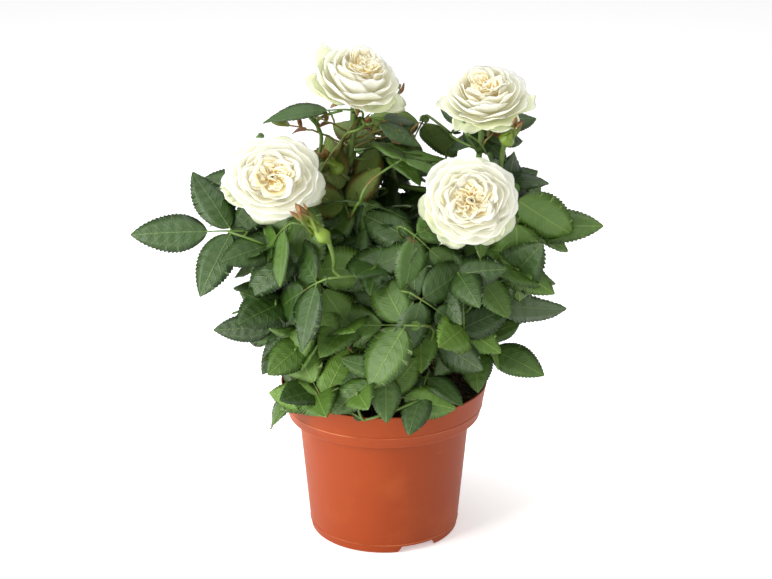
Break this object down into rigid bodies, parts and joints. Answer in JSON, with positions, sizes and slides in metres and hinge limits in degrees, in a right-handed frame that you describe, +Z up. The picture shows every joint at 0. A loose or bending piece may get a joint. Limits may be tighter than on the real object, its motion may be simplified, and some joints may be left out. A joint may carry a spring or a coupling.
{
  "type": "potted rose bush",
  "caption": "Small bushy rose in a round plastic nursery pot, with full white blooms, pointed buds and dark serrated leaves; stands on the pot's flat underside.",
  "frame": {"origin": "on the pot's axis, in the plane of the surface that the pot stands on, at the middle of the pot's underside", "axes": "+Z up along the pot's axis, front of the bush towards -Y, +X to the right seen from the front"},
  "size_m": [0.269, 0.213, 0.2879],
  "materials": {
    "pot_plastic": "satin moulded plastic, terracotta colour",
    "peat": "moist fibrous peat, crumbly and matte",
    "cane_bark": "green-brown young bark with a few prickles",
    "green_bark": "smooth fresh green shoot, satin",
    "leaf": "dark green satin leaf with a pale midrib",
    "young_leaf": "bright green young leaf with reddish edges",
    "petal": "soft matte white petal, creamy at the heart",
    "sepal": "fresh green bud with a reddish tip"
  },
  "bodies": {
    "root": {"bloom_front": "petal", "bloom_left": "petal", "bloom_right": "petal", "bloom_top": "petal", "bough_top": "green_bark", "bough_top_left": "green_bark", "bough_top_right": "green_bark", "bud_left": "sepal", "bud_right": "sepal", "bud_upper": "sepal", "cane_back": "cane_bark", "cane_back_left": "cane_bark", "cane_back_right": "cane_bark", "cane_centre": "cane_bark", "cane_front": "cane_bark", "cane_left": "cane_bark", "cane_right": "cane_bark", "foliage_back": "leaf", "foliage_back_left": "leaf", "foliage_back_left_top": "leaf", "foliage_back_left_upper": "leaf", "foliage_back_right": "leaf", "foliage_back_right_upper": "leaf", "foliage_back_tip": "leaf", "foliage_back_top": "leaf", "foliage_back_upper": "leaf", "foliage_crown": "leaf", "foliage_front": "leaf", "foliage_front_left": "leaf", "foliage_front_low": "leaf", "foliage_front_right": "leaf", "foliage_front_upper": "leaf", "foliage_heart": "leaf", "foliage_heart_low": "leaf", "foliage_inner_left": "leaf", "foliage_left_low": "leaf", "foliage_left_shoulder": "leaf", "foliage_left_thin": "leaf", "foliage_left_tip": "leaf", "foliage_left_upper": "leaf", "foliage_right_front": "leaf", "foliage_right_low": "leaf", "foliage_right_shoulder": "leaf", "foliage_right_tip": "leaf", "foliage_right_upper": "leaf", "foliage_skirt_front": "leaf", "foliage_skirt_left": "leaf", "foliage_skirt_right": "leaf", "foliage_top_centre": "leaf", "foliage_top_left": "leaf", "foliage_top_right": "leaf", "foliage_upper_left": "young_leaf", "foliage_upper_right": "leaf", "pot": "pot_plastic", "soil": "peat", "stalk_front": "green_bark", "stalk_left": "green_bark", "stalk_right": "green_bark", "stalk_top": "green_bark"}
  },
  "joints": []
}
